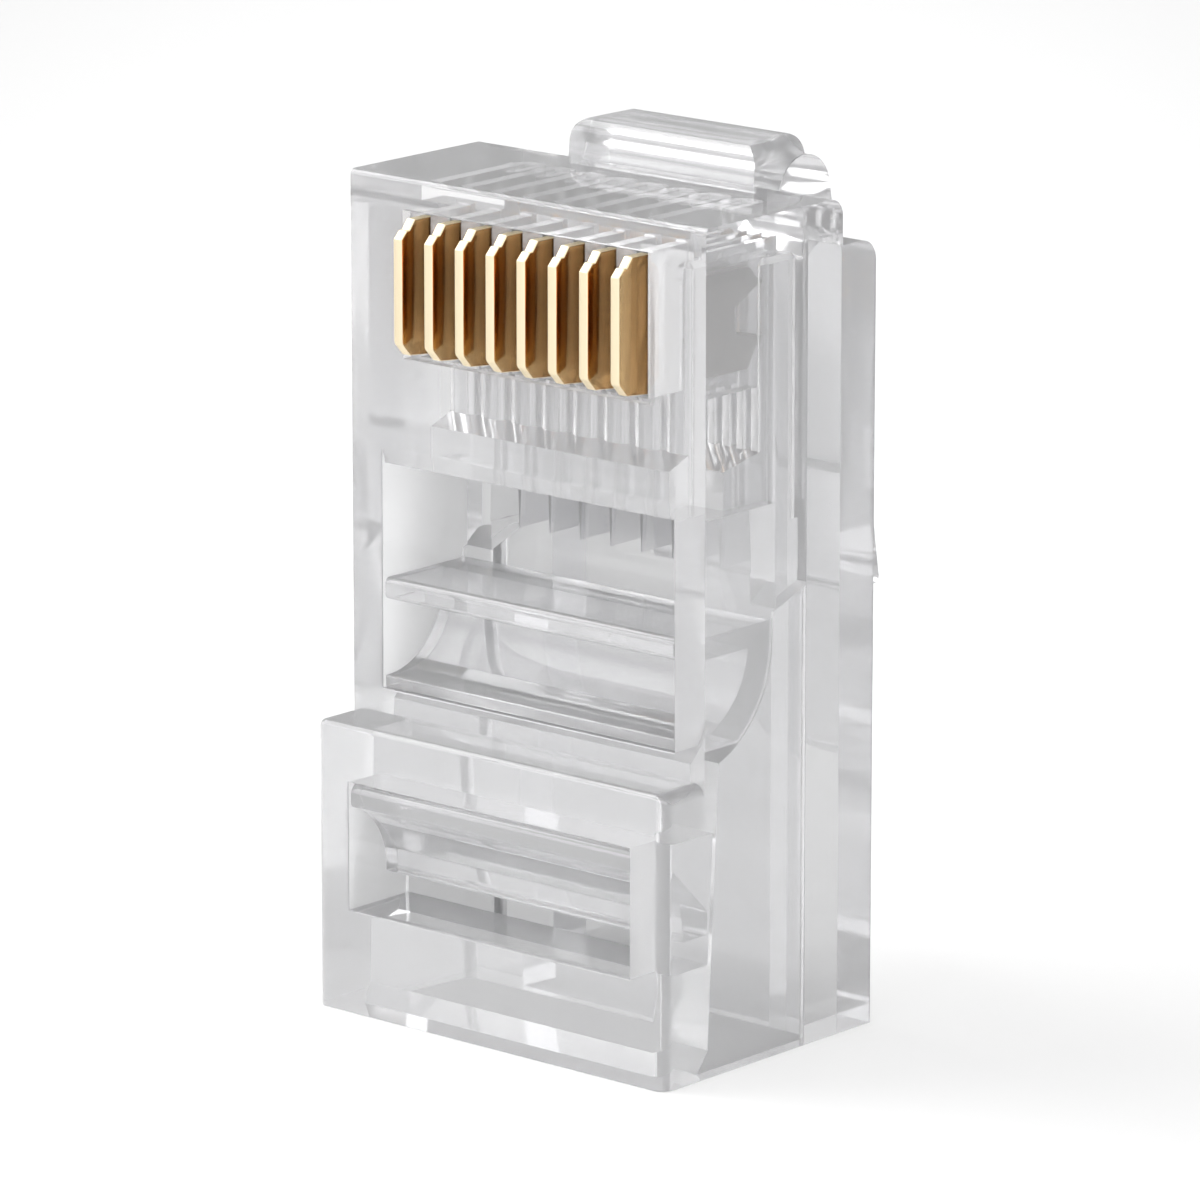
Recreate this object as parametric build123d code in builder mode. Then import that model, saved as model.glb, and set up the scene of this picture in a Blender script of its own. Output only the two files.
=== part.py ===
import os
from math import cos, radians, sin, sqrt, tan

from build123d import *

# An eight-contact modular plug in clear plastic, as it comes before it is crimped on a cable.
# It stands on its cable end with the nose up. X runs across the contacts, Y from the contact side
# to the latch side and Z from the cable end to the nose. The origin is the centre of the cable end.
# All sizes are in millimetres.

# Housing, outside
body_width = 11.68
body_length = 21.46
rear_depth = 8.0
front_depth = 6.5
nose_depth = 5.2
rear_length = 7.56
rail_setback = 1.2
nose_round = 0.45
rail_round = 0.55
edge_round = 0.15
rear_corner_round = 0.35

# Housing, walls and the cable mouth
side_wall = 0.9
floor_wall = 0.7
mouth_wall = 2.1
knee_wall = 2.53
knee_rise = 0.27
mouth_flare = 0.38
mouth_flare_height = 0.6
cavity_round = 0.35

# Wire passage and its eight channels
contact_count = 8
contact_pitch = 1.02
channel_width = 0.9
channel_depth = 1.43
channel_round = 0.3
channel_end_wall = 1.35
end_pocket_width = 0.4
end_pocket_depth = 0.35
end_pocket_length = 0.5
end_pocket_lift = 0.9
ramp_angle = 70.0
ramp_bent_share = 0.95
passage_lead = 0.65
passage_step = 0.5
comb_lead = 0.8
comb_taper = 1.3
comb_tip_width = 0.02

# Funnel behind the window's top, which brings the eight wires down into their channels
funnel_inset = 0.09
funnel_depth = 1.37
funnel_end_from_nose = 6.46
funnel_slope = 0.3

# Contact blades and their slots
blade_thickness = 0.3
blade_proud = 0.75
blade_depth = 4.02
crown_length = 3.55
crown_from_nose = 0.95
crown_depth = 1.5
crown_step = 0.25
crown_step_run = 0.3
crown_chamfer = 0.2
blade_length = 2.6
blade_from_nose = 1.46
blade_waist = 1.0
prong_width = 0.98
prong_round = 0.12
slot_clearance = 0.03
slot_end_clearance = 0.06
contact_recess_depth = 0.28
contact_recess_margin = 0.06

# Window over the wires, and the clamp that closes on them
window_side_wall = 0.99
window_from_nose = 7.43
window_lead_height = 0.5
window_lead_depth = 0.15
clamp_shelf_clearance = 0.2
clamp_shelf_thickness = 0.58
clamp_wall = 0.85
clamp_sill_height = 0.64
clamp_side_clearance = 0.04
hinge_clearance = 0.03
clamp_inset = 0.05

# Window over the cable jacket, and the wedge that closes on it
jacket_window_side_wall = 1.14
jacket_window_low = 2.7
jacket_window_high = 6.05
jacket_inset = 0.05
jacket_hinge_radius = 0.3
jacket_wedge_depth = 2.3
jacket_wedge_end = 0.95
jacket_wedge_shoulder = 1.65
jacket_wedge_gap = 0.75
jacket_scoop = 1.8
jacket_scoop_drop = 0.6

# Latch and the root it hangs from
latch_width = 6.1
latch_side_gap = 0.35
latch_thickness = 1.0
latch_angle = 9.0
tab_angle = 22.0
tab_width = 3.25
tab_thickness = 0.85
tab_tip_from_nose = 16.2
tab_corner_round = 0.9
lock_from_nose = 11.1
lock_ramp_from_nose = 7.3
lock_height = 0.4
lock_ramp = 0.7
knuckle_radius = 1.0
knuckle_from_nose = 0.55
root_web = 0.9
root_rise = 0.95
root_round = 0.4
root_corner_round = 0.6
root_gap_from_nose = 1.75
root_gap_round = 0.35

past = 1.0  # how far a cutting core runs past the wall that it opens

# Places that follow from the sizes
latch_face_y = rear_depth / 2
rear_face_y = -rear_depth / 2
contact_face_y = latch_face_y - front_depth
floor_y = contact_face_y + nose_depth
channel_floor_y = floor_y - floor_wall
channel_top_y = channel_floor_y - channel_depth
cavity_width = body_width - 2 * side_wall
window_width = body_width - 2 * window_side_wall
jacket_window_width = body_width - 2 * jacket_window_side_wall
rail_gap = latch_width + 2 * latch_side_gap
slot_width = blade_thickness + 2 * slot_clearance


def below_nose(distance):
    """The height of a point that lies this far from the nose."""
    return body_length - distance


def slab(corners, width):
    """A solid with one side profile all the way across, in the middle of the plug.

    The corners are (y, z, corner radius) in order round the profile.
    """
    points = [(y, z) for y, z, radius in corners]
    radii = [radius for y, z, radius in corners]
    with BuildPart() as block:
        with BuildSketch(Plane.YZ.offset(-width / 2)):
            with BuildLine():
                FilletPolyline(*points, radius=radii, close=True)
            make_face()
        extrude(amount=width)
    return block.part


def upright_tab(width, low_z, top_z, corner_round):
    """A block on the latch side, drawn from the back with its corners rounded."""
    with BuildPart() as block:
        with BuildSketch(Plane.XZ):
            with Locations((0, (low_z + top_z) / 2)):
                RectangleRounded(width, top_z - low_z, corner_round)
        extrude(amount=-2 * rear_depth)
    return block.part


# Cores: the spaces inside the housing, as a mould maker would draw them

# The cable cavity narrows from its mouth to a knee, then a curved ramp brings it to the level of
# the wires. The ramp leaves the knee at its own angle and ends in line with the wires.
mouth_y = rear_face_y + mouth_wall
knee_y = rear_face_y + knee_wall
knee_z = rear_length + knee_rise
ramp_drop = channel_top_y - knee_y
ramp_corner_z = knee_z + ramp_drop / tan(radians(ramp_angle))
ramp_bend = ramp_bent_share * ramp_drop / sin(radians(ramp_angle)) / tan(radians(ramp_angle / 2))
ramp_end_z = ramp_corner_z + ramp_bend * tan(radians(ramp_angle / 2))
cavity_top_z = ramp_end_z + passage_lead
cavity_corners = [
    (mouth_y, -past, 0),
    (mouth_y, 0, 0),
    (knee_y, knee_z, 0),
    (channel_top_y, ramp_corner_z, ramp_bend),
    (channel_top_y, cavity_top_z, 0),
    (channel_floor_y, cavity_top_z + passage_step, 0),
    (channel_floor_y, -past, 0),
]
with BuildPart() as cable_core:
    add(slab(cavity_corners, cavity_width))
    floor_edges = cable_core.edges().filter_by(Axis.Z).group_by(Axis.Y)[-1]
    fillet(floor_edges, radius=cavity_round)

# The front wall of the mouth flares out where the cable goes in.
flare_corners = [
    (mouth_y - mouth_flare, 0, 0),
    (mouth_y + cavity_round, mouth_flare_height + cavity_round, 0),
    (channel_floor_y - cavity_round, 0, 0),
    (channel_floor_y - cavity_round, -past, 0),
    (mouth_y - mouth_flare, -past, 0),
]
flare_core = slab(flare_corners, cavity_width)

# The wire passage joins the cavity to the channels, all of them side by side.
comb_width = (contact_count - 1) * contact_pitch + channel_width
comb_tip_z = cavity_top_z + comb_lead
comb_root_z = comb_tip_z + comb_taper
with BuildPart() as passage_core:
    with Locations((0, (channel_top_y + channel_floor_y) / 2, cavity_top_z - edge_round)):
        Box(
            comb_width,
            channel_depth,
            comb_lead + edge_round,
            align=(Align.CENTER, Align.CENTER, Align.MIN),
        )

# Each channel takes one wire up under its contact. Its end is rounded off towards the nose and
# has a small pocket for the wire's tip. The walls between channels thin out to a comb's points
# where the wires come in.
channel_mid_y = (channel_top_y + channel_floor_y) / 2
channel_end_z = below_nose(channel_end_wall)
with BuildPart() as channel_core:
    with BuildSketch(Plane.XY.offset(comb_root_z)):
        with Locations((0, channel_mid_y)):
            RectangleRounded(channel_width, channel_depth, channel_round)
    extrude(amount=channel_end_z - comb_root_z)
    chamfer(channel_core.faces().sort_by(Axis.Z)[-1].edges(), length=channel_round / 2)
    with BuildSketch(Plane.XY.offset(comb_tip_z)):
        with Locations((0, channel_mid_y)):
            Rectangle(contact_pitch - comb_tip_width, channel_depth)
    with BuildSketch(Plane.XY.offset(comb_root_z)):
        with Locations((0, channel_mid_y)):
            Rectangle(channel_width, channel_depth)
    loft()
    with Locations((0, channel_floor_y - end_pocket_lift, channel_end_z)):
        Box(
            end_pocket_width,
            end_pocket_depth,
            2 * end_pocket_length,
        )

# One contact's slot, open at the contact face and down into its channel. The ribs between the
# slots stand back a little from the contact face, so the contacts show more of their sides.
slot_length = crown_length + 2 * slot_end_clearance
slot_top_z = below_nose(crown_from_nose) + slot_end_clearance
with BuildPart() as slot_core:
    with Locations((0, contact_face_y - past, slot_top_z)):
        Box(
            slot_width,
            channel_mid_y - contact_face_y + past,
            slot_length,
            align=(Align.CENTER, Align.MIN, Align.MAX),
        )
with BuildPart() as recess_core:
    with Locations((0, contact_face_y + contact_recess_depth, slot_top_z + contact_recess_margin)):
        Box(
            contact_count * contact_pitch,
            past,
            slot_length + 2 * contact_recess_margin,
            align=(Align.CENTER, Align.MAX, Align.MAX),
        )

# The window over the wires runs from its shallow lead-in down to the sill by the shoulder.
sill_z = rear_length + clamp_sill_height
window_top_z = below_nose(window_from_nose)
window_corners = [
    (contact_face_y - past, sill_z, 0),
    (channel_top_y - edge_round, sill_z, 0),
    (channel_top_y + edge_round, ramp_end_z, 0),
    (channel_top_y + edge_round, window_top_z, 0),
    (contact_face_y + window_lead_depth, window_top_z, 0),
    (contact_face_y, window_top_z + window_lead_height, 0),
    (contact_face_y - past, window_top_z + window_lead_height, 0),
]
window_core = slab(window_corners, window_width)

# The funnel leads up behind the wall over the window to the channels' own ceiling.
funnel_y = channel_top_y - funnel_depth
funnel_end_z = below_nose(funnel_end_from_nose)
funnel_corners = [
    (funnel_y, cavity_top_z, 0),
    (funnel_y, funnel_end_z, 0),
    (channel_top_y + edge_round, funnel_end_z + funnel_slope, 0),
    (channel_top_y + edge_round, cavity_top_z, 0),
]
funnel_core = slab(funnel_corners, comb_width - 2 * funnel_inset)

# The window over the jacket goes straight through the wall of the thick rear part.
jacket_corners = [
    (rear_face_y - past, jacket_window_low, 0),
    (knee_y + past, jacket_window_low, 0),
    (knee_y + past, jacket_window_high, 0),
    (rear_face_y - past, jacket_window_high, 0),
]
jacket_core = slab(jacket_corners, jacket_window_width)

# Latch root: a web that stands on the floor behind the nose and cups the latch's knuckle
knuckle_y = floor_y + root_web + knuckle_radius
knuckle_z = below_nose(knuckle_from_nose)
root_corners = [
    (floor_y - edge_round, body_length - nose_round, 0),
    (floor_y, body_length + root_rise, root_round),
    (knuckle_y, body_length + root_rise, edge_round),
    (knuckle_y, knuckle_z, 0),
    (floor_y + root_web, below_nose(root_gap_from_nose) + root_gap_round, 0),
    (floor_y + root_gap_round, below_nose(root_gap_from_nose), root_gap_round / 2),
    (floor_y - edge_round, below_nose(root_gap_from_nose), 0),
]
knuckle_seat_radius = knuckle_radius + hinge_clearance
with BuildPart() as latch_root:
    add(slab(root_corners, latch_width))
    with BuildSketch(Plane.YZ.offset(-latch_width)):
        with Locations((knuckle_y, knuckle_z)):
            Circle(knuckle_seat_radius)
    extrude(amount=2 * latch_width, mode=Mode.SUBTRACT)
    add(upright_tab(latch_width, 0, body_length + root_rise, root_corner_round), mode=Mode.INTERSECT)

# Housing: one clear moulding with all the cores taken out
body_corners = [
    (rear_face_y, 0, 0),
    (latch_face_y, 0, 0),
    (latch_face_y, below_nose(rail_setback), rail_round),
    (floor_y, below_nose(rail_setback), 0),
    (floor_y, body_length, nose_round),
    (contact_face_y, body_length, edge_round),
    (contact_face_y, rear_length, 0),
    (rear_face_y, rear_length, edge_round),
]
with BuildPart() as housing:
    add(slab(body_corners, body_width))
    rear_corners = housing.edges().filter_by(Axis.Z).group_by(Axis.Y)[0]
    fillet(rear_corners, radius=rear_corner_round)
    with Locations((0, floor_y, -past)):
        Box(
            rail_gap,
            latch_face_y,
            body_length + 2 * past,
            align=(Align.CENTER, Align.MIN, Align.MIN),
            mode=Mode.SUBTRACT,
        )
    add(latch_root.part)
    for core in (cable_core, passage_core, recess_core):
        add(core.part, mode=Mode.SUBTRACT)
    with GridLocations(contact_pitch, 0, contact_count, 1):
        add(channel_core.part, mode=Mode.SUBTRACT)
        add(slot_core.part, mode=Mode.SUBTRACT)
    for core in (flare_core, window_core, funnel_core, jacket_core):
        add(core, mode=Mode.SUBTRACT)

# Contact blade: a flat stamping. Its broad crown has stepped corners and touches the jack's spring,
# and behind a narrower body two prongs pierce the wire.
blade_front_y = contact_face_y - blade_proud
blade_back_y = blade_front_y + blade_depth
crown_back_y = blade_front_y + crown_depth
crown_top_z = below_nose(crown_from_nose)
crown_low_z = crown_top_z - crown_length
blade_top_z = below_nose(blade_from_nose)
blade_low_z = blade_top_z - blade_length
waist_y = blade_back_y - blade_waist
prong_tip = prong_width / 2
blade_corners = [
    (blade_front_y, crown_low_z + crown_step + crown_chamfer, crown_chamfer),
    (blade_front_y, crown_top_z - crown_step - crown_chamfer, 0),
    (blade_front_y + crown_chamfer, crown_top_z - crown_step, 0),
    (blade_front_y + crown_step_run, crown_top_z - crown_step, 0),
    (blade_front_y + crown_step_run + crown_chamfer, crown_top_z, 0),
    (crown_back_y, crown_top_z, 0),
    (crown_back_y, blade_top_z, prong_round),
    (waist_y + prong_tip, blade_top_z, prong_round),
    (blade_back_y, blade_top_z - prong_tip, 0),
    (waist_y, blade_top_z - prong_width, prong_round),
    (waist_y, blade_low_z + prong_width, prong_round),
    (blade_back_y, blade_low_z + prong_width - crown_chamfer, 0),
    (blade_back_y - crown_chamfer, blade_low_z + prong_tip, 0),
    (waist_y + prong_tip, blade_low_z, prong_round),
    (crown_back_y, blade_low_z, prong_round),
    (crown_back_y, crown_low_z, 0),
    (blade_front_y + crown_step_run, crown_low_z + crown_step / 2, 0),
]
blade = slab(blade_corners, blade_thickness)

# Wire clamp: a shelf and a curved wall in one. It turns about the foot of its wall, where the real
# moulding has a thin web, and its inside lies on the ramp's own curve.
clamp_front_y = contact_face_y + clamp_inset
clamp_foot_z = sill_z + hinge_clearance
ramp_centre_y = channel_top_y - ramp_bend
clamp_foot_y = ramp_centre_y + sqrt(ramp_bend**2 - (ramp_end_z - clamp_foot_z) ** 2)
shelf_top_z = cavity_top_z - clamp_shelf_clearance
shelf_low_z = shelf_top_z - clamp_shelf_thickness
clamp_block_corners = [
    (clamp_front_y, clamp_foot_z, 0),
    (clamp_front_y, shelf_top_z, edge_round),
    (channel_top_y + past, shelf_top_z, 0),
    (channel_top_y + past, clamp_foot_z, 0),
]
shelf_corners = [
    (clamp_front_y, shelf_low_z, edge_round),
    (clamp_front_y, shelf_top_z, edge_round),
    (channel_top_y + past, shelf_top_z, 0),
    (channel_top_y + past, shelf_low_z, 0),
]
# The scoop under the shelf keeps the wall's thickness away from the ramp.
scoop_y = channel_top_y - clamp_wall
scoop_round = ramp_bend - clamp_wall
scoop_low_z = ramp_end_z - scoop_round
scoop_corners = [
    (contact_face_y - past, scoop_low_z, 0),
    (scoop_y, scoop_low_z, scoop_round),
    (scoop_y, shelf_top_z, 0),
    (contact_face_y - past, shelf_top_z, 0),
]
wire_clamp_width = window_width - 2 * clamp_side_clearance
with BuildPart() as wire_clamp:
    add(slab(clamp_block_corners, wire_clamp_width))
    add(slab(scoop_corners, cavity_width), mode=Mode.SUBTRACT)
    add(slab(shelf_corners, wire_clamp_width))
    add(slab(cavity_corners, cavity_width), mode=Mode.SUBTRACT)

# Jacket clamp: a wedge hung at the top front edge of its window. Its outer face is scooped inwards
# and its free end stands behind the sill, where it bites on the jacket when it is pushed in.
jacket_front_y = rear_face_y + jacket_inset
jacket_hinge_y = jacket_front_y + jacket_hinge_radius
jacket_hinge_z = jacket_window_high - jacket_hinge_radius - hinge_clearance
wedge_back_y = rear_face_y + jacket_wedge_depth
wedge_low_z = jacket_window_low + jacket_wedge_gap
wedge_front_y = wedge_back_y - jacket_wedge_end
scoop_top_z = jacket_hinge_z - jacket_hinge_radius
wedge_corners = [
    (wedge_front_y, wedge_low_z, 0),
    (wedge_back_y, wedge_low_z, edge_round),
    (wedge_back_y, jacket_hinge_z - jacket_wedge_shoulder, edge_round),
    (jacket_hinge_y + jacket_hinge_radius / 2, jacket_hinge_z + jacket_hinge_radius / 2, 0),
    (jacket_front_y, jacket_hinge_z, 0),
    (jacket_front_y, scoop_top_z, edge_round),
    (wedge_front_y, scoop_top_z - jacket_scoop_drop, jacket_scoop),
]
jacket_clamp_width = jacket_window_width - 2 * clamp_side_clearance
with BuildPart() as jacket_clamp:
    add(slab(wedge_corners, jacket_clamp_width))
    with BuildSketch(Plane.YZ.offset(-jacket_clamp_width / 2)):
        with Locations((jacket_hinge_y, jacket_hinge_z)):
            Circle(jacket_hinge_radius)
    extrude(amount=jacket_clamp_width)

# Latch: a broad spring arm with a raised lock, then a narrow thumb tab that leans out further
arm_lean = tan(radians(latch_angle))
tab_lean = tan(radians(tab_angle))
arm_outer_y = knuckle_y + knuckle_radius / cos(radians(latch_angle))
lock_z = below_nose(lock_from_nose)
tip_z = below_nose(tab_tip_from_nose)


def arm_y(z):
    """The arm's outer face at a height."""
    return arm_outer_y + (knuckle_z - z) * arm_lean


def tab_y(z):
    """The thumb tab's outer face at a height."""
    return arm_y(lock_z) + (lock_z - z) * tab_lean


lock_ramp_z = below_nose(lock_ramp_from_nose)
arm_corners = [
    (knuckle_y, knuckle_z, 0),
    (arm_outer_y, knuckle_z, 0),
    (arm_y(lock_ramp_z), lock_ramp_z, 0),
    (arm_y(lock_ramp_z - lock_ramp) + lock_height, lock_ramp_z - lock_ramp, edge_round),
    (arm_y(lock_z) + lock_height, lock_z, edge_round),
    (arm_y(lock_z) - latch_thickness, lock_z, edge_round),
]
tab_thickness_y = tab_thickness / cos(radians(tab_angle))
tab_corners = [
    (arm_y(lock_z) - latch_thickness / 2, lock_z + latch_thickness, 0),
    (arm_y(lock_z), lock_z + latch_thickness, 0),
    (arm_y(lock_z), lock_z, 0),
    (tab_y(tip_z), tip_z, tab_thickness / 3),
    (tab_y(tip_z) - tab_thickness_y, tip_z, tab_thickness / 3),
    (tab_y(lock_z) - tab_thickness_y, lock_z, 0),
]
with BuildPart() as thumb_tab:
    add(slab(tab_corners, tab_width))
    add(upright_tab(tab_width, tip_z, body_length, tab_corner_round), mode=Mode.INTERSECT)
with BuildPart() as latch:
    add(slab(arm_corners, latch_width))
    with BuildSketch(Plane.YZ.offset(-latch_width / 2)):
        with Locations((knuckle_y, knuckle_z)):
            Circle(knuckle_radius)
    extrude(amount=latch_width)
    add(thumb_tab.part)

# Pieces: each is named and written out by itself
os.makedirs("parts", exist_ok=True)
housing.part.label = "housing"
export_step(housing.part, "parts/housing.step")
latch.part.label = "latch"
export_step(latch.part, "parts/latch.step")
wire_clamp.part.label = "wire_clamp"
export_step(wire_clamp.part, "parts/wire_clamp.step")
jacket_clamp.part.label = "jacket_clamp"
export_step(jacket_clamp.part, "parts/jacket_clamp.step")

first_contact_x = -(contact_count - 1) * contact_pitch / 2
for index in range(contact_count):
    with BuildPart() as contact:
        with Locations((first_contact_x + index * contact_pitch, 0, 0)):
            add(blade)
    contact.part.label = f"contact_{index + 1}"
    export_step(contact.part, f"parts/{contact.part.label}.step")

print("latch hinge at y, z:", round(knuckle_y, 3), round(knuckle_z, 3))
print("wire clamp hinge at y, z:", round(clamp_foot_y, 3), round(clamp_foot_z, 3))
print("jacket clamp hinge at y, z:", round(jacket_hinge_y, 3), round(jacket_hinge_z, 3))
print("thumb tab tip at y, z:", round(tab_y(tip_z), 3), round(tip_z, 3))
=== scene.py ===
# %% [markdown]
# # A clear modular plug
# The real piece is a plug for network cable, before it is crimped: one shot of clear polycarbonate
# and eight small gold-plated blades. The solids come from the imported CAD model, and this lesson
# gives them their finish: rounded edges, clear plastic, plated metal, light and camera. The CAD
# solids stay in the scene, hidden.

# %% Load the frame
from math import cos, pi, radians, sin

import bmesh
import bpy
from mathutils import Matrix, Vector


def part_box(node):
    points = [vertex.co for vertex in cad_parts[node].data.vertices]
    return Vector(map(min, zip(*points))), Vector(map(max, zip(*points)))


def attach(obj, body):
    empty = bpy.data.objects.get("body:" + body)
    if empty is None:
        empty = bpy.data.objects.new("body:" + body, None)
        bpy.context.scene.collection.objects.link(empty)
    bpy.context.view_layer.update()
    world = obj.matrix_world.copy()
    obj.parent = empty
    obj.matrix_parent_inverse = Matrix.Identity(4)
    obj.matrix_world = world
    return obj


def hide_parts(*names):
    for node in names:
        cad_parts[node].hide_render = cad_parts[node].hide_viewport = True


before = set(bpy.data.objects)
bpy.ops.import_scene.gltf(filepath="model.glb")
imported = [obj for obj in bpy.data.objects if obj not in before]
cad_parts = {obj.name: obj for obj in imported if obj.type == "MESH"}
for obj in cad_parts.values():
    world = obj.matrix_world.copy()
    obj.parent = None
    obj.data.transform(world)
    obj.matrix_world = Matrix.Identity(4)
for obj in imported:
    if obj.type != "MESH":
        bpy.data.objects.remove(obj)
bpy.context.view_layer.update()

MM = 0.001
print("CAD nodes:", sorted(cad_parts))

# %% [markdown]
# ## A few small helpers
# Colours are written as the hex values that a paint chart or a picture editor shows. Blender
# reckons in linear light, so one function turns them. Another adds a node to a tree together with
# its settings and links, which keeps each material below as short as a recipe. The third puts a
# mesh, a lamp or a camera into the scene.

# %% Helpers for colours, nodes and objects
def linear(hex_colour):
    """A picture editor's hex colour as the linear colour that shaders use."""
    parts = [int(hex_colour[i : i + 2], 16) / 255 for i in (1, 3, 5)]
    return [c / 12.92 if c <= 0.04045 else ((c + 0.055) / 1.055) ** 2.4 for c in parts] + [1]


def add_node(tree, kind, settings=None, inputs=None):
    """Adds a node. Settings are its own properties, and inputs hold values or sockets to link."""
    node = tree.nodes.new(kind)
    for name, value in (settings or {}).items():
        setattr(node, name, value)
    for name, value in (inputs or {}).items():
        if isinstance(value, bpy.types.NodeSocket):
            tree.links.new(value, node.inputs[name])
        else:
            node.inputs[name].default_value = value
    return node


def add_object(name, data):
    """Puts a mesh, a lamp or a camera into the scene, at the origin."""
    thing = bpy.data.objects.new(name, data)
    bpy.context.scene.collection.objects.link(thing)
    return thing


def new_material(name):
    """An empty node material, with its tree and its output node."""
    material = bpy.data.materials.new(name)
    material.use_nodes = True
    material.node_tree.nodes.clear()
    output = add_node(material.node_tree, "ShaderNodeOutputMaterial")
    return material, material.node_tree, output


print("A mid grey, linear:", [round(c, 3) for c in linear("#808080")])

# %% [markdown]
# ## Clear polycarbonate
# The plug is injection moulded in a polished steel mould. Polycarbonate bends light strongly, with
# an index of 1.585, which is why the inner walls show as bright and dark bands. The surface is
# glossy but never perfect: it sinks a little as it cools, in waves a few millimetres long, and the
# tumbling of thousands of plugs in a bag leaves a very fine rub. The plastic is also a little
# milky: about a fifth of the light is scattered, so it reads as pale grey and not as cut glass.
# A glass shader could bend the light too, but it scatters nothing. The principled shader is used
# because it has both, as a clear share of 0.8, and its settings are the ones that other programs
# read as well.

# %% Clear polycarbonate, moulded
MOULD_WAVE = 2.5 * MM  # from one sink mark to the next
RUB_GRAIN = 0.12 * MM  # fine rub, drawn coarser than it is so that it shows


def clear_polycarbonate():
    """Clear, slightly milky plastic with a moulded surface."""
    material, tree, output = new_material("polycarbonate_clear_moulded")
    place = add_node(tree, "ShaderNodeTexCoord").outputs["Object"]
    waves = add_node(
        tree,
        "ShaderNodeTexNoise",
        inputs={"Vector": place, "Scale": 1 / MOULD_WAVE, "Detail": 1.5, "Roughness": 0.4},
    )
    rub = add_node(
        tree,
        "ShaderNodeTexNoise",
        inputs={"Vector": place, "Scale": 1 / RUB_GRAIN, "Detail": 2.0, "Roughness": 0.6},
    )
    roughness = add_node(
        tree,
        "ShaderNodeMapRange",
        inputs={
            "Value": rub.outputs["Fac"],
            "From Min": 0.3,
            "From Max": 0.75,
            "To Min": 0.02,
            "To Max": 0.07,
        },
    )
    bump = add_node(
        tree,
        "ShaderNodeBump",
        inputs={"Height": waves.outputs["Fac"], "Strength": 0.2, "Distance": 0.02 * MM},
    )
    shader = add_node(
        tree,
        "ShaderNodeBsdfPrincipled",
        inputs={
            "Base Color": linear("#f8f8f9"),
            "Roughness": roughness.outputs["Result"],
            "IOR": 1.585,
            "Transmission Weight": 0.8,
            "Normal": bump.outputs["Normal"],
        },
    )
    tree.links.new(shader.outputs["BSDF"], output.inputs["Surface"])
    return material


polycarbonate = clear_polycarbonate()
print("Made", polycarbonate.name, "with", len(polycarbonate.node_tree.nodes), "nodes")

# %% [markdown]
# ## Gold over nickel
# Each contact is stamped from phosphor bronze strip and plated. The rim that touches the jack is
# painted a pale cream, a painted highlight where it faces the lamps. It is rougher, so it spreads
# the light in a soft line. The flanks are painted a browner gold, a painted shade, and darker still
# towards the housing, painted shade where the blades crowd into the slot. In the slot there is only
# nickel, a warm grey. Stamping draws fine lines down the blade.
# Three materials on three sets of faces would need cuts in the mesh that the real stamping lacks.
# So one material holds all three. The way a face points tells the painted-lit rim from the
# painted-shaded flank, and the distance from the face of the housing tells gold from nickel.

# %% Gold on the contact edge, nickel below it
RIM_Y = -3.25 * MM  # the front edge of a blade
CONTACT_FACE_Y = -2.22 * MM  # the face of the housing round the blades
PAINTED_SHADE_START = 0.1 * MM  # how far behind the rim the painted shade on the flanks begins
GOLD_DEPTH = 0.1 * MM  # how far the gold reaches under the face of the housing
GOLD_BLUR = 0.05 * MM  # how wide the line between gold and nickel is, each way
STAMPING_LINE = 0.05 * MM  # drawn coarser than it is, so that it shows
LINE_SQUEEZE = 0.06  # the scale of the pattern along the blade, as a share of that across it
COLOUR_A, COLOUR_B, COLOUR_OUT = 6, 7, 2  # the colour sockets of a mix node


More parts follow.
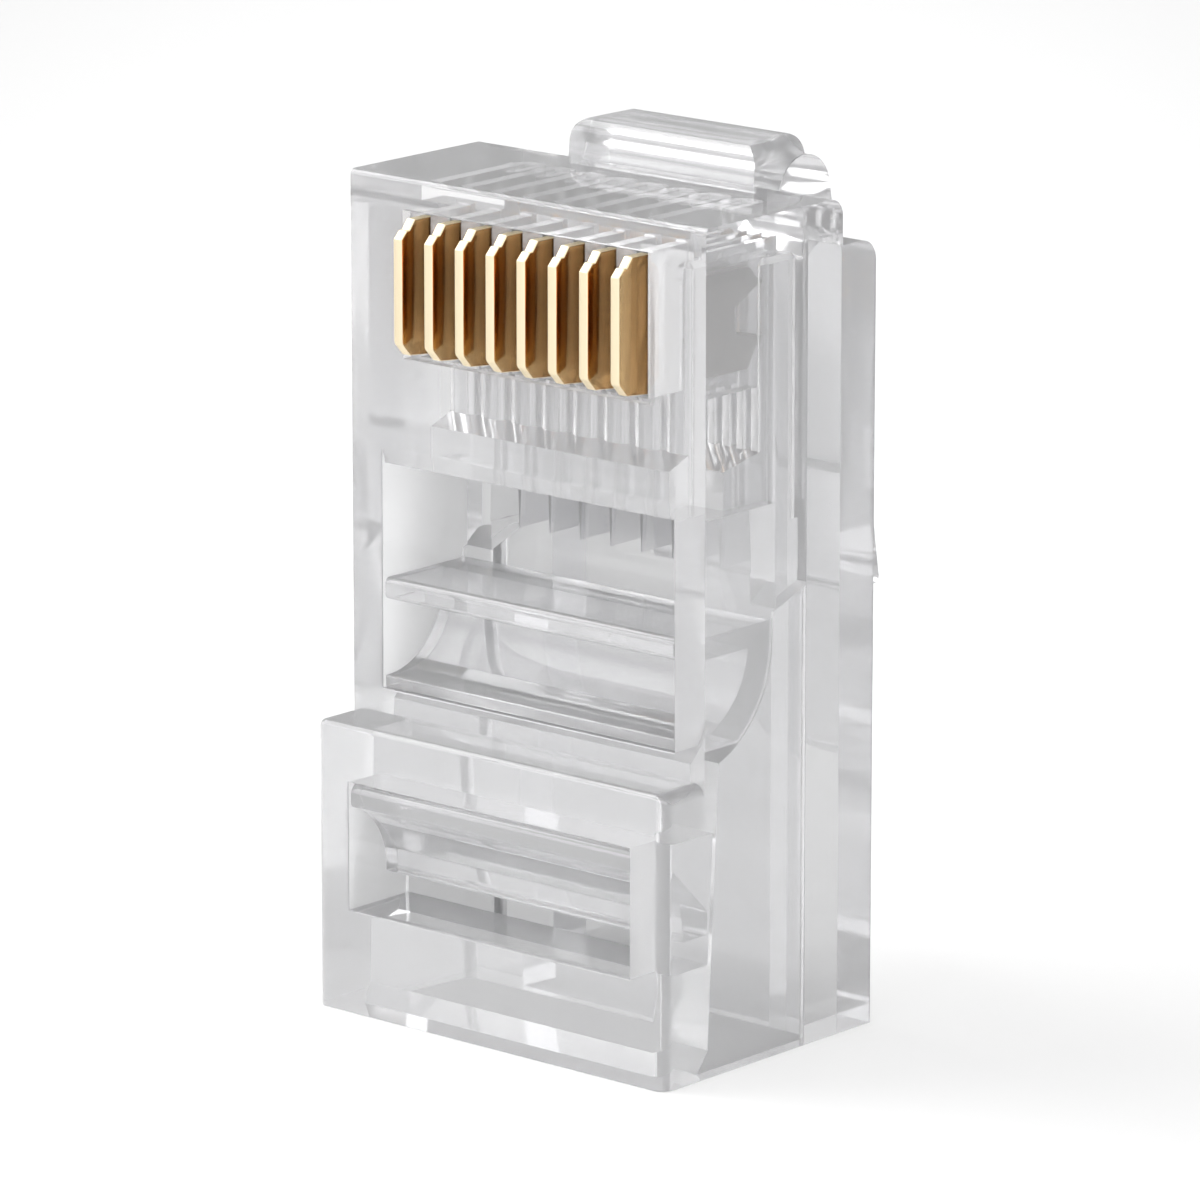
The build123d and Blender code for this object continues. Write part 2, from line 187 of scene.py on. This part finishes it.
def plated_contact():
    """Gold with a painted highlight on the rim and painted shade on the flanks, and nickel in the
    slot.
    """
    material, tree, output = new_material("gold_over_nickel_painted_light")
    where = add_node(tree, "ShaderNodeTexCoord").outputs
    lines_place = add_node(
        tree,
        "ShaderNodeMapping",
        inputs={"Vector": where["Object"], "Scale": (1.0, 1.0, LINE_SQUEEZE)},
    )
    lines = add_node(
        tree,
        "ShaderNodeTexNoise",
        inputs={"Vector": lines_place.outputs["Vector"], "Scale": 1 / STAMPING_LINE, "Detail": 2.0},
    )
    depth = add_node(tree, "ShaderNodeSeparateXYZ", inputs={"Vector": where["Object"]}).outputs["Y"]
    # The flanks darken from just behind the rim to the face of the housing: painted shade where the
    # blades stand close in the slot.
    flank_painted_shade = add_node(
        tree,
        "ShaderNodeMapRange",
        inputs={"Value": depth, "From Min": RIM_Y + PAINTED_SHADE_START, "From Max": CONTACT_FACE_Y},
    )
    flank_gold_with_painted_shade = add_node(tree, "ShaderNodeValToRGB", inputs={"Fac": flank_painted_shade.outputs["Result"]})
    stops = flank_gold_with_painted_shade.color_ramp.elements
    stops[0].color = linear("#dcb884")
    stops[1].color = linear("#9c7546")
    stops.new(0.55).color = linear("#cda26c")
    # Which way a face points picks the rim, painted lit, from the flanks, painted in shade.
    facing = add_node(tree, "ShaderNodeSeparateXYZ", inputs={"Vector": where["Normal"]})
    flank = add_node(tree, "ShaderNodeMath", {"operation": "ABSOLUTE"}, {0: facing.outputs["X"]})
    on_flank_painted_shade = add_node(
        tree,
        "ShaderNodeMapRange",
        inputs={"Value": flank.outputs["Value"], "From Min": 0.6, "From Max": 0.95},
    ).outputs["Result"]
    in_slot = add_node(
        tree,
        "ShaderNodeMapRange",
        inputs={
            "Value": depth,
            "From Min": CONTACT_FACE_Y + GOLD_DEPTH - GOLD_BLUR,
            "From Max": CONTACT_FACE_Y + GOLD_DEPTH + GOLD_BLUR,
        },
    ).outputs["Result"]
    # The pale cream on the rim is a painted highlight, and the browner flank colour is painted
    # shade.
    gold = add_node(
        tree,
        "ShaderNodeMix",
        {"data_type": "RGBA"},
        {"Factor": on_flank_painted_shade, COLOUR_A: linear("#fbeccb"), COLOUR_B: flank_gold_with_painted_shade.outputs["Color"]},
    )
    metal = add_node(
        tree,
        "ShaderNodeMix",
        {"data_type": "RGBA"},
        {"Factor": in_slot, COLOUR_A: gold.outputs[COLOUR_OUT], COLOUR_B: linear("#8f8c88")},
    )
    burnish = add_node(
        tree,
        "ShaderNodeMapRange",
        inputs={"Value": on_flank_painted_shade, "To Min": 0.36, "To Max": 0.08},
    )
    roughness = add_node(
        tree,
        "ShaderNodeMath",
        {"operation": "MULTIPLY_ADD"},
        {0: lines.outputs["Fac"], 1: 0.1, 2: burnish.outputs["Result"]},
    )
    bump = add_node(
        tree,
        "ShaderNodeBump",
        inputs={"Height": lines.outputs["Fac"], "Strength": 0.15, "Distance": 0.01 * MM},
    )
    shader = add_node(
        tree,
        "ShaderNodeBsdfPrincipled",
        inputs={
            "Base Color": metal.outputs[COLOUR_OUT],
            "Metallic": 1.0,
            "Roughness": roughness.outputs["Value"],
            "Normal": bump.outputs["Normal"],
        },
    )
    tree.links.new(shader.outputs["BSDF"], output.inputs["Surface"])
    return material


gold_over_nickel = plated_contact()
print("Made", gold_over_nickel.name)

# %% [markdown]
# ## From a CAD solid to a moulded piece
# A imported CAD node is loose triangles, each with its own corners, so it can only be shaded flat.
# Flat facets would show in clear plastic as stripes. So each moulded piece is a merged copy: the
# doubles go, the triangles of one plane become one face, and only edges sharper than a limit stay
# sharp. A mould has no knife edges, so the small pieces and the rims of the two windows get a fine
# round, and that round is what draws a bright line along them. Weighted normals keep the flats
# flat, because a bent normal on a flat wall would bend the light behind it too.
# Subdivision was the other way, but it would draw the flat walls of the plug out of true. The walls
# between the channels end in tips finer than the round, so they keep their sharp edges.

# %% Merged copies with fine edge rounds
EDGE_ROUND = 0.04 * MM
CLOSE_ENOUGH = 0.001 * MM
DOUBLES_WITHIN = 0.0005 * MM
SHARP_EDGE = radians(32)
FLAT = radians(0.6)
OUTER_CORNER = radians(60)
FRONT_WALLS = (-2.5 * MM, -4.0 * MM)  # the faces of the jack end and of the cable end
WINDOW_ZONE = (1.5 * MM, 15.0 * MM)  # from the cable end, clear of the contacts
WINDOW_REACH = 5.2 * MM  # from the middle of the plug, clear of its side walls


def outer_corner(edge):
    """True where two faces meet in an outer corner of about a right angle."""
    return len(edge.link_faces) == 2 and edge.calc_face_angle_signed() > OUTER_CORNER


def window_rim(edge):
    """True for the outer corners that frame a window in one of the front walls."""
    on_wall = any(
        all(abs(v.co.y - wall) < CLOSE_ENOUGH for v in edge.verts) for wall in FRONT_WALLS
    )
    low, high = WINDOW_ZONE
    in_zone = all(low < v.co.z < high and abs(v.co.x) < WINDOW_REACH for v in edge.verts)
    return outer_corner(edge) and on_wall and in_zone


def merged_copy(node_name, piece_name, is_rounded):
    """A copy of a CAD node with its triangles merged, its flats whole and chosen edges rounded."""
    form = bmesh.new()
    form.from_mesh(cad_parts[node_name].data)
    bmesh.ops.remove_doubles(form, verts=form.verts, dist=DOUBLES_WITHIN)
    bmesh.ops.dissolve_limit(form, angle_limit=FLAT, verts=form.verts, edges=form.edges)
    rounded = [edge for edge in form.edges if is_rounded(edge)]
    bmesh.ops.bevel(
        form,
        geom=rounded,
        offset=EDGE_ROUND,
        offset_type="OFFSET",
        segments=3,
        profile=0.5,
        affect="EDGES",
        clamp_overlap=True,
    )
    open_edges = sum(1 for edge in form.edges if len(edge.link_faces) != 2)
    for face in form.faces:
        face.smooth = True
    for edge in form.edges:
        edge.smooth = len(edge.link_faces) == 2 and edge.calc_face_angle() < SHARP_EDGE
    mesh = bpy.data.meshes.new(piece_name)
    form.to_mesh(mesh)
    form.free()
    piece = add_object(piece_name, mesh)
    flats = piece.modifiers.new("flat_walls_first", "WEIGHTED_NORMAL")
    flats.keep_sharp = True
    flats.weight = 100  # the most that a large face can count
    print(piece_name, "faces:", len(mesh.polygons), "rounded:", len(rounded), "open:", open_edges)
    return piece


moulded_pieces = {
    "housing": ("housing_moulding", window_rim),
    "latch": ("latch_arm", outer_corner),
    "wire_clamp": ("wire_clamp_bar", outer_corner),
    "jacket_clamp": ("jacket_clamp_wedge", outer_corner),
}
for node_name, (piece_name, is_rounded) in moulded_pieces.items():
    moulding = merged_copy(node_name, piece_name, is_rounded)
    moulding.data.materials.append(polycarbonate)
    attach(moulding, node_name)
    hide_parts(node_name)

# %% [markdown]
# ## One contact blade
# The blade is a flat stamping, 0.3 mm thick. Its front edge is crowned where the jack's spring
# rides on it, and its back pierces the wire. The punch rolls the rim over a little, and the rolled
# rim is what catches the light in a bright line.
# The outline could be drawn again here, but the CAD solid already has it. So the first contact is
# merged, moved to the middle of the row, and only its rim is rounded.

# %% Merge one blade and roll its rim
ROLLED_RIM = 0.04 * MM
RIGHT_ANGLE_WITHIN = 0.02  # radians



def blade_mesh():
    """The first contact's blade, merged from its CAD node and moved to the middle of the row."""
    form = bmesh.new()
    form.from_mesh(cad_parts["contact_1"].data)
    bmesh.ops.remove_doubles(form, verts=form.verts, dist=DOUBLES_WITHIN)
    bmesh.ops.dissolve_limit(form, angle_limit=FLAT, verts=form.verts, edges=form.edges)
    low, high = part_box("contact_1")
    bmesh.ops.translate(form, verts=form.verts, vec=(-(low.x + high.x) / 2, 0, 0))
    rim = [
        edge
        for edge in form.edges
        if len(edge.link_faces) == 2
        and abs(edge.calc_face_angle() - pi / 2) < RIGHT_ANGLE_WITHIN
        and abs(edge.verts[0].co.x - edge.verts[1].co.x) < CLOSE_ENOUGH
    ]
    bmesh.ops.bevel(
        form,
        geom=rim,
        offset=ROLLED_RIM,
        offset_type="OFFSET",
        segments=2,
        profile=0.5,
        affect="EDGES",
    )
    for face in form.faces:
        face.smooth = True
    for edge in form.edges:
        edge.smooth = edge.calc_face_angle(0) < SHARP_EDGE
    mesh = bpy.data.meshes.new("blade_blank")
    form.to_mesh(mesh)
    form.free()
    return mesh


blade_blank = blade_mesh()
print("Blade faces:", len(blade_blank.polygons), "rolled rim, mm:", round(ROLLED_RIM / MM, 3))

# %% [markdown]
# ## The row of eight
# The blades stand in a row at 1.02 mm. Geometry Nodes place them: a line of points at the pitch
# takes the blade, and the number of the contact says which point is kept, because each contact is
# crimped by itself and so rides on a body of its own. A loop with an offset would do the same, but
# the tree keeps the count and the pitch as inputs that can be changed in one place.

# %% A node tree for the row
def contact_row_tree():
    """A row of blades at a pitch, of which the numbered one is kept."""
    tree = bpy.data.node_groups.new("contact_row", "GeometryNodeTree")
    tree.interface.new_socket("Blade", in_out="INPUT", socket_type="NodeSocketGeometry")
    sizes = [("Count", "Int"), ("Pitch", "Float"), ("Number", "Int"), ("Metal", "Material")]
    for name, kind in sizes:
        tree.interface.new_socket(name, in_out="INPUT", socket_type="NodeSocket" + kind)
    tree.interface.new_socket("Contact", in_out="OUTPUT", socket_type="NodeSocketGeometry")
    given = add_node(tree, "NodeGroupInput").outputs
    step = add_node(tree, "ShaderNodeCombineXYZ", inputs={"X": given["Pitch"]})
    gaps = add_node(tree, "ShaderNodeMath", {"operation": "SUBTRACT"}, {0: given["Count"], 1: 1})
    length = add_node(
        tree,
        "ShaderNodeMath",
        {"operation": "MULTIPLY"},
        {0: gaps.outputs["Value"], 1: given["Pitch"]},
    )
    first = add_node(
        tree, "ShaderNodeMath", {"operation": "MULTIPLY"}, {0: length.outputs["Value"], 1: -0.5}
    )
    start = add_node(tree, "ShaderNodeCombineXYZ", inputs={"X": first.outputs["Value"]})
    line = add_node(
        tree,
        "GeometryNodeMeshLine",
        {"mode": "OFFSET"},
        {"Count": given["Count"], "Start Location": start.outputs[0], "Offset": step.outputs[0]},
    )
    index = add_node(tree, "GeometryNodeInputIndex")
    chosen = add_node(
        tree,
        "FunctionNodeCompare",
        {"data_type": "INT", "operation": "EQUAL"},
    )
    whole = [s for s in chosen.inputs if s.type == "INT"]
    tree.links.new(index.outputs[0], whole[0])
    tree.links.new(given["Number"], whole[1])
    placed = add_node(
        tree,
        "GeometryNodeInstanceOnPoints",
        inputs={
            "Points": line.outputs["Mesh"],
            "Selection": chosen.outputs["Result"],
            "Instance": given["Blade"],
        },
    )
    solid = add_node(tree, "GeometryNodeRealizeInstances", inputs={"Geometry": placed.outputs[0]})
    finished = add_node(
        tree,
        "GeometryNodeSetMaterial",
        inputs={"Geometry": solid.outputs[0], "Material": given["Metal"]},
    )
    add_node(tree, "NodeGroupOutput", inputs={"Contact": finished.outputs[0]})
    return tree


contact_row = contact_row_tree()
socket_id = {item.name: item.identifier for item in contact_row.interface.items_tree}
print("Row inputs:", sorted(socket_id))

# %% [markdown]
# ## Eight contacts, each on its own body
# On the real plug nothing joins one contact to the next, and a crimping tool drives each of them
# into its own slot. So the row is asked eight times for one of its blades. The evaluated mesh of
# the row is kept as a plain mesh, and the object that held the modifier goes, because a finished
# piece has to be a mesh that needs no tree.

# %% Eight contacts from the row
CONTACT_COUNT = 8
CONTACT_PITCH = 1.02 * MM


def contact_from_row(number):
    """One contact of the row as a plain mesh object."""
    holder = add_object("blade_holder", blade_blank)
    row = holder.modifiers.new("row", "NODES")
    row.node_group = contact_row
    row[socket_id["Count"]] = CONTACT_COUNT
    row[socket_id["Pitch"]] = CONTACT_PITCH
    row[socket_id["Number"]] = number
    row[socket_id["Metal"]] = gold_over_nickel
    bpy.context.view_layer.update()
    evaluated = holder.evaluated_get(bpy.context.evaluated_depsgraph_get())
    mesh = bpy.data.meshes.new_from_object(evaluated)
    mesh.name = f"contact_blade_{number + 1}"
    bpy.data.objects.remove(holder)
    return add_object(mesh.name, mesh)


for number in range(CONTACT_COUNT):
    node_name = f"contact_{number + 1}"
    contact = contact_from_row(number)
    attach(contact, node_name)
    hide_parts(node_name)
print("Contacts:", CONTACT_COUNT, "at a pitch of", CONTACT_PITCH / MM, "mm")

# %% [markdown]
# ## Floor
# Such plugs are photographed on a sheet of paper. Pure white paper would shine up into the plastic
# and wash it out. So the sheet is a pale grey, and a lamp of its own lights it to white where the
# plug stands. A plane with a flat colour would do, but real paper is matt and a little uneven.

# %% Pale floor
PAPER_HALF = 1.5  # half the sheet's side, in metres
PAPER_DROP = 0.02 * MM  # so that the plug's end and the sheet don't share a plane
PAPER_FIBRE = 0.5 * MM


def pale_floor():
    """A large sheet of matt paper just under the plug."""
    mesh = bpy.data.meshes.new("floor")
    corners = [(-1, -1), (1, -1), (1, 1), (-1, 1)]
    points = [(x * PAPER_HALF, y * PAPER_HALF, -PAPER_DROP) for x, y in corners]
    mesh.from_pydata(points, [], [(0, 1, 2, 3)])
    material, tree, output = new_material("paper_grey_matt")
    place = add_node(tree, "ShaderNodeTexCoord").outputs["Object"]
    fibres = add_node(
        tree, "ShaderNodeTexNoise", inputs={"Vector": place, "Scale": 1 / PAPER_FIBRE}
    )
    roughness = add_node(
        tree,
        "ShaderNodeMapRange",
        inputs={"Value": fibres.outputs["Fac"], "To Min": 0.85, "To Max": 1.0},
    )
    shader = add_node(
        tree,
        "ShaderNodeBsdfPrincipled",
        inputs={"Base Color": linear("#cbcbcb"), "Roughness": roughness.outputs["Result"]},
    )
    tree.links.new(shader.outputs["BSDF"], output.inputs["Surface"])
    mesh.materials.append(material)
    floor = add_object("floor", mesh)
    return floor


floor = pale_floor()
print("Floor side, m:", 2 * PAPER_HALF)

# %% [markdown]
# ## The lamp on the paper
# A far lamp beside the lens, with a snoot that keeps its beam narrow, lights the sheet to white.
# Its shadow falls straight behind the plug, where the lens can't see it, so no dark shape cuts into
# the clear walls. In a studio a flag would keep this lamp off the plug itself. Light linking does
# that here: the lamp lights only what is in its collection. An emitting floor would be simpler, but
# it would light the plug from below.

# %% A snooted lamp for the paper
PLUG_MIDDLE = Vector((0, 0, 10.7)) * MM
LAMP_RADIUS = 50 * MM


def direction(azimuth, elevation):
    """The way to a compass direction in degrees: azimuth 0 is in front of the contacts."""
    a, e = radians(azimuth), radians(elevation)
    return Vector((sin(a) * cos(e), -cos(a) * cos(e), sin(e)))


def snooted_lamp(name, azimuth, elevation, distance, width, power):
    """A far lamp with a snoot: a narrow, almost parallel beam aimed at the middle of the plug."""
    light = bpy.data.lights.new(name, "SPOT")
    light.energy = power
    light.spot_size = width / distance
    light.spot_blend = 0.15
    light.shadow_soft_size = LAMP_RADIUS
    lamp = add_object(name, light)
    towards = direction(azimuth, elevation)
    lamp.location = PLUG_MIDDLE + towards * distance
    lamp.rotation_euler = towards.to_track_quat("Z", "Y").to_euler()
    return lamp


paper_light = snooted_lamp(
    "paper_light", azimuth=41, elevation=15, distance=3.0, width=0.104, power=1260
)
lit_by_paper_light = bpy.data.collections.new("lit_by_paper_light")
lit_by_paper_light.objects.link(floor)
paper_light.light_linking.receiver_collection = lit_by_paper_light

# %% [markdown]
# ## Softboxes
# Clear plastic has hardly any colour of its own: it shows what stands round it. The lamps are two
# softboxes. A low, wide one stands in front and lights the walls of the windows and the shelf. A
# smaller key light stands high on the left and draws the gleam on the nose. Everything else is a
# pale room, a little darker at the horizon and straight above, so that edges stand out.
# Area lights would give the same gleams, but the plug bends light through many walls, and a lamp
# that is part of the world is found by every path at little cost.

# %% A world with a low front softbox and a high key light
FRONT_SOFTBOX = 2.65
ROOM = 0.73
KEY_SOFTBOX = 3.2
TOWARDS_KEY = (-0.637, -0.242, 0.732)


def studio_world():
    """A pale room with two softboxes, by the way that a ray leaves."""
    world = bpy.data.worlds.new("studio")
    bpy.context.scene.world = world
    world.use_nodes = True
    tree = world.node_tree
    tree.nodes.clear()
    way = add_node(tree, "ShaderNodeTexCoord").outputs["Generated"]
    part = add_node(tree, "ShaderNodeSeparateXYZ", inputs={"Vector": way}).outputs
    sky = add_node(tree, "ShaderNodeValToRGB", inputs={"Fac": part["Z"]})
    stops = sky.color_ramp.elements
    stops[0].color = linear("#c0c0c0")
    stops[1].color = linear("#b0b0b0")
    for position in (0.5, 0.8):
        stops.new(position).color = linear("#ffffff")
    low = add_node(
        tree,
        "ShaderNodeMapRange",
        inputs={"Value": part["Z"], "From Min": 0.5, "From Max": 0.35},
    )
    ahead = add_node(
        tree,
        "ShaderNodeMapRange",
        inputs={"Value": part["Y"], "From Min": 0.1, "From Max": -0.2},
    )
    softbox = add_node(
        tree,
        "ShaderNodeMath",
        {"operation": "MULTIPLY"},
        {0: low.outputs["Result"], 1: ahead.outputs["Result"]},
    )
    front_light = add_node(
        tree,
        "ShaderNodeMath",
        {"operation": "MULTIPLY_ADD"},
        {0: softbox.outputs["Value"], 1: FRONT_SOFTBOX, 2: ROOM},
    )
    aside = add_node(
        tree, "ShaderNodeVectorMath", {"operation": "DOT_PRODUCT"}, {0: way, 1: TOWARDS_KEY}
    )
    key = add_node(
        tree,
        "ShaderNodeMapRange",
        inputs={
            "Value": aside.outputs["Value"],
            "From Min": 0.9,
            "From Max": 0.96,
            "To Max": KEY_SOFTBOX,
        },
    )
    strength = add_node(
        tree, "ShaderNodeMath", inputs={0: front_light.outputs["Value"], 1: key.outputs["Result"]}
    )
    background = add_node(
        tree,
        "ShaderNodeBackground",
        inputs={"Color": sky.outputs["Color"], "Strength": strength.outputs["Value"]},
    )
    output = add_node(tree, "ShaderNodeOutputWorld")
    tree.links.new(background.outputs["Background"], output.inputs["Surface"])


studio_world()
print("World nodes:", len(bpy.context.scene.world.node_tree.nodes))

# %% [markdown]
# ## Camera
# A long lens from above and to the right keeps the plug's edges almost parallel, as a product
# photograph does.

# %% Camera at the product photograph's angle
CAMERA_AZIMUTH = 41.066
CAMERA_ELEVATION = 13.984
CAMERA_DISTANCE = 204.7 * MM
CAMERA_AIM = Vector((-0.1, 0.42, 10.72)) * MM
SENSOR = 36.0
FOCAL_PIXELS = 8138.0
FRAME_PIXELS = 1200.0


def product_camera():
    """A long lens at the photograph's angle, aimed at the middle of the plug."""
    away = direction(CAMERA_AZIMUTH, CAMERA_ELEVATION)
    lens = bpy.data.cameras.new("camera")
    lens.sensor_width = SENSOR
    lens.lens = FOCAL_PIXELS / FRAME_PIXELS * SENSOR
    lens.clip_start = 10 * MM
    camera = add_object("camera", lens)
    camera.location = CAMERA_AIM + away * CAMERA_DISTANCE
    camera.rotation_euler = away.to_track_quat("Z", "Y").to_euler()
    bpy.context.scene.camera = camera
    print("Lens:", round(lens.lens, 1), "mm")


product_camera()

# %% [markdown]
# ## Light paths and picture
# Light crosses a dozen walls on its way through the plug, so paths may be long. The picture is
# shown with the standard curve, which leaves the paper white.

# %% Light paths and the picture's curve
scene = bpy.context.scene
scene.cycles.max_bounces = 16
scene.cycles.transmission_bounces = 16
scene.cycles.glossy_bounces = 8
scene.cycles.diffuse_bounces = 4
scene.cycles.sample_clamp_indirect = 8.0
scene.cycles.use_denoising = True
scene.view_settings.view_transform = "Standard"
print("Bounces:", scene.cycles.max_bounces, "curve:", scene.view_settings.view_transform)
